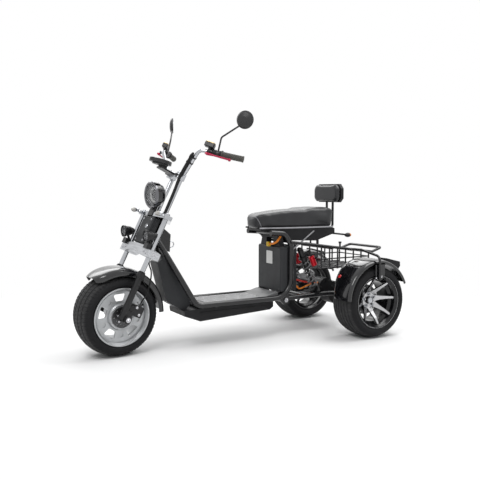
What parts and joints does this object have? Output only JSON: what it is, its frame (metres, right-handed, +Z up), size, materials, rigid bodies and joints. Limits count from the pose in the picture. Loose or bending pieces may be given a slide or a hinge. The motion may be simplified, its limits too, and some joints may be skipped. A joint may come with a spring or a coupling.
{
  "type": "electric trike scooter",
  "caption": "Three-wheeled electric scooter with a steered front fork, step-through floor, bench seat with backrest, removable battery box, rear rack and fat tyres.",
  "frame": {"origin": "on the ground, below the centre of the bounding box", "axes": "+X forward, +Y to the rider's left, +Z up"},
  "size_m": [2.0799, 0.9886, 1.3988],
  "materials": {
    "amber": "translucent amber",
    "black_metal": "satin black",
    "black_plastic": "fine grain",
    "cable": "insulated cable",
    "charcoal": "satin charcoal",
    "chrome": "polished",
    "clamp": "satin",
    "floor_grey": "ribbed mat",
    "frame_black": "satin black powder coat",
    "gloss_black": "gloss",
    "leather": "grained leatherette",
    "lens": "clear",
    "mirror": "polished",
    "red_lamp": "translucent red",
    "red_metal": "anodised crimson",
    "rim_black": "gloss black with machined spokes",
    "rim_silver": "satin cast alloy",
    "rubber": "matte",
    "steel": "brushed",
    "tyre": "matte rubber",
    "yellow": "moulded"
  },
  "bodies": {
    "frame": {"head_tube": "frame_black", "frame_rails": "frame_black", "cross_tubes": "frame_black", "leg_shroud": "charcoal", "floor_panel": "floor_grey", "floor_box": "black_plastic", "battery_case": "charcoal", "battery_handle": "charcoal", "seat_pan": "black_plastic", "seat_cushion": "leather", "seat_supports": "chrome", "backrest_pad": "leather", "backrest_shell": "black_plastic", "swing_arm": "frame_black", "drive_unit": "black_metal", "shock_bodies": "black_metal", "shock_springs": "black_metal", "shock_reservoirs": "red_metal", "rack": "frame_black", "basket": "frame_black", "fender_stays": "frame_black", "rear_fenders": "gloss_black", "rear_signals": "amber", "tail_lamps": "black_plastic", "tail_lenses": "red_lamp", "battery_plug": "yellow", "power_cables": "cable"},
    "fork": {"fork_sliders": "black_metal", "fork_stanchions": "chrome", "lower_clamp": "clamp", "upper_clamp": "black_metal", "front_axle": "steel", "handlebar": "chrome", "grips": "rubber", "lever_perches": "chrome", "brake_levers": "red_metal", "risers": "chrome", "mirrors": "black_plastic", "mirror_glasses": "mirror", "headlamp_bowl": "gloss_black", "headlamp_bezel": "chrome", "headlamp_lens": "lens", "dash": "black_plastic", "lamp_brackets": "black_metal", "spot_lamps": "black_plastic", "spot_lenses": "lens", "front_signals": "amber", "fork_cover": "charcoal", "front_fender": "gloss_black", "front_caliper": "black_metal", "control_cables": "rubber"},
    "front_wheel": {"front_tyre": "tyre", "front_rim": "rim_silver", "front_brake_disc": "steel"},
    "rear_left_wheel": {"rear_left_tyre": "tyre", "rear_left_rim": "rim_black", "rear_left_hub": "steel"},
    "rear_right_wheel": {"rear_right_tyre": "tyre", "rear_right_rim": "rim_black", "rear_right_hub": "steel"}
  },
  "joints": [
    {"name": "steering", "type": "hinge", "parent": "frame", "child": "fork", "pos_m": [0.77944, 0, 0.21633], "axis": [-0.4446, 0, 0.8957], "range_deg": [-46, 34]},
    {"name": "front_wheel_spin", "type": "hinge", "parent": "fork", "child": "front_wheel", "pos_m": [0.80884, 0.00345, 0.23092], "axis": [-0.0936, 0.9945, -0.0465], "continuous": true},
    {"name": "rear_left_spin", "type": "hinge", "parent": "frame", "child": "rear_left_wheel", "pos_m": [-0.741, 0.365, 0.231], "axis": [0, 1, 0], "continuous": true},
    {"name": "rear_right_spin", "type": "hinge", "parent": "frame", "child": "rear_right_wheel", "pos_m": [-0.741, -0.365, 0.231], "axis": [0, 1, 0], "continuous": true}
  ]
}
